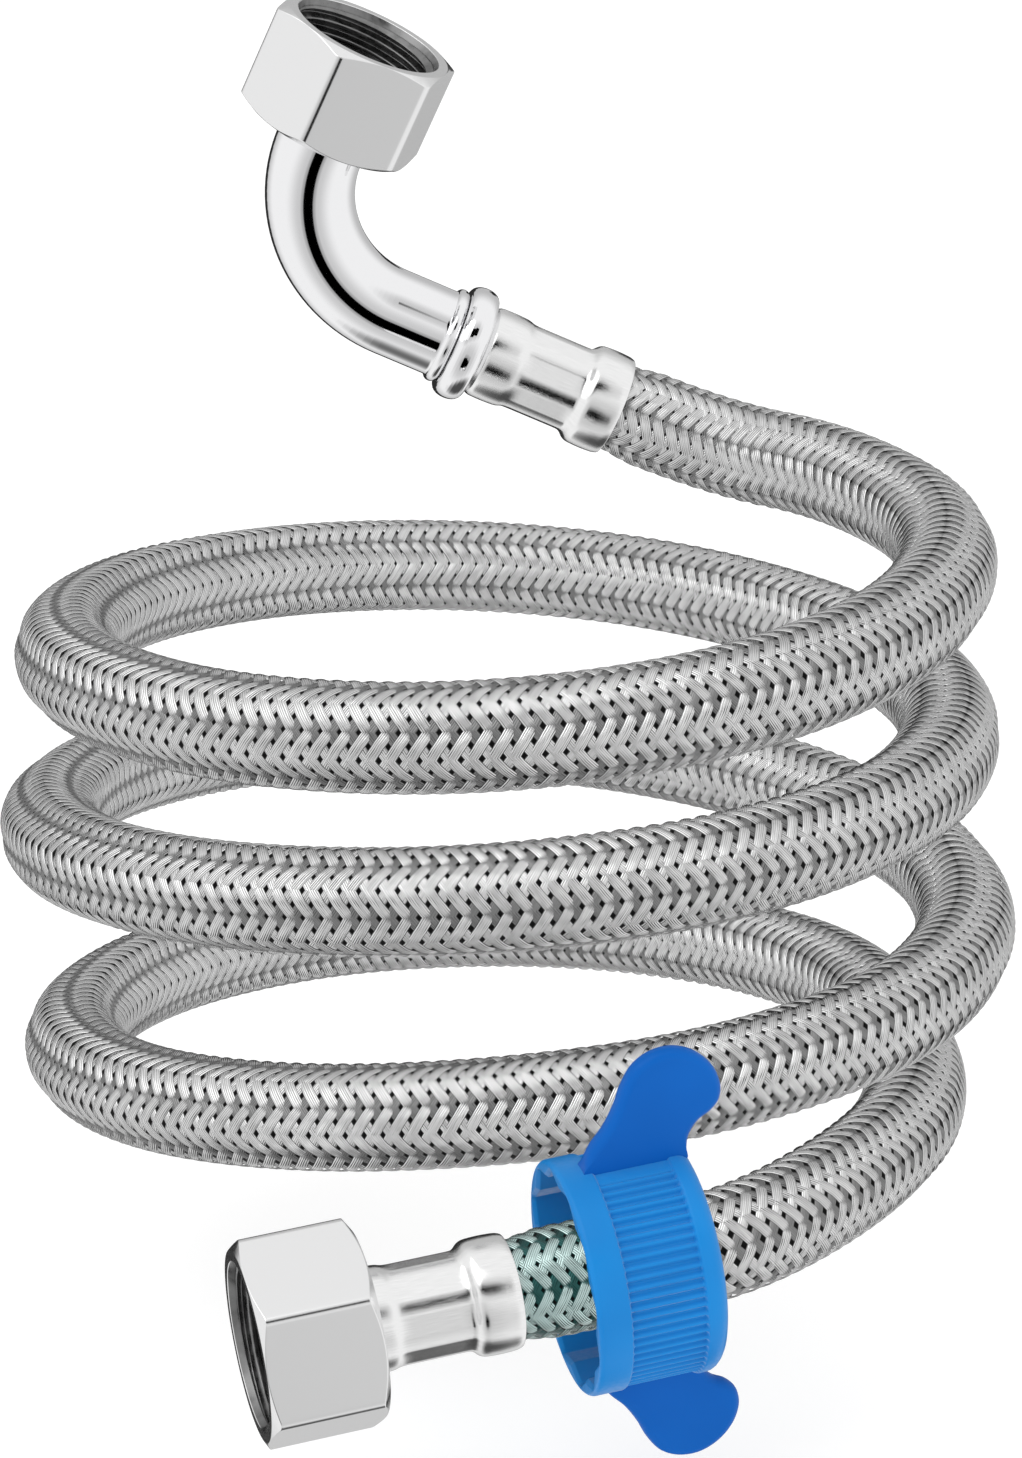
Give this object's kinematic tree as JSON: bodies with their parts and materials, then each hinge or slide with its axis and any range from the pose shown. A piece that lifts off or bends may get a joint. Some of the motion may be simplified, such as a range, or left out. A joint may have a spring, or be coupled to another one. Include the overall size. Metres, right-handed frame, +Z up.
{
  "type": "braided water supply line",
  "caption": "Coiled steel-braided water supply hose with an elbow swivel nut, a straight swivel nut and a sliding wing spanner.",
  "frame": {"origin": "centre of the elbow end's sealing face, on the elbow nut's axis", "axes": "+Z up along the axis of the coil, with the elbow end at the top; -Y is the side that the straight end crosses"},
  "size_m": [0.1423, 0.1695, 0.1747],
  "materials": {
    "braid": "bright stainless wire, plaited two over two",
    "rubber_hose": "matt black rubber",
    "polished_steel": "mirror polished stainless steel",
    "bright_steel": "bright drawn stainless steel",
    "nut_steel": "finely ground stainless steel",
    "gasket_rubber": "matt black rubber",
    "blue_plastic": "satin moulded plastic"
  },
  "bodies": {
    "hose": {"braid_sleeve": "braid", "inner_tube": "rubber_hose", "elbow_tube": "polished_steel", "elbow_insert": "polished_steel", "elbow_ferrule": "bright_steel", "elbow_gasket": "gasket_rubber", "straight_insert": "polished_steel", "straight_ferrule": "bright_steel", "straight_gasket": "gasket_rubber"},
    "elbow_nut": {"elbow_nut": "nut_steel"},
    "straight_nut": {"straight_nut": "nut_steel"},
    "wing_spanner": {"wing_spanner": "blue_plastic"}
  },
  "joints": [
    {"name": "elbow_nut_spin", "type": "hinge", "parent": "hose", "child": "elbow_nut", "pos_m": [0, 0, 0], "axis": [0.4105, -0.1427, 0.9007], "continuous": true},
    {"name": "straight_nut_spin", "type": "hinge", "parent": "hose", "child": "straight_nut", "pos_m": [-0.00512, -0.11184, -0.14038], "axis": [-0.9584, -0.2658, -0.1045], "continuous": true},
    {"name": "spanner_slide", "type": "slide", "parent": "hose", "child": "wing_spanner", "axis": [-0.9584, -0.2658, -0.1045], "range_m": [0, 0.0383]}
  ]
}
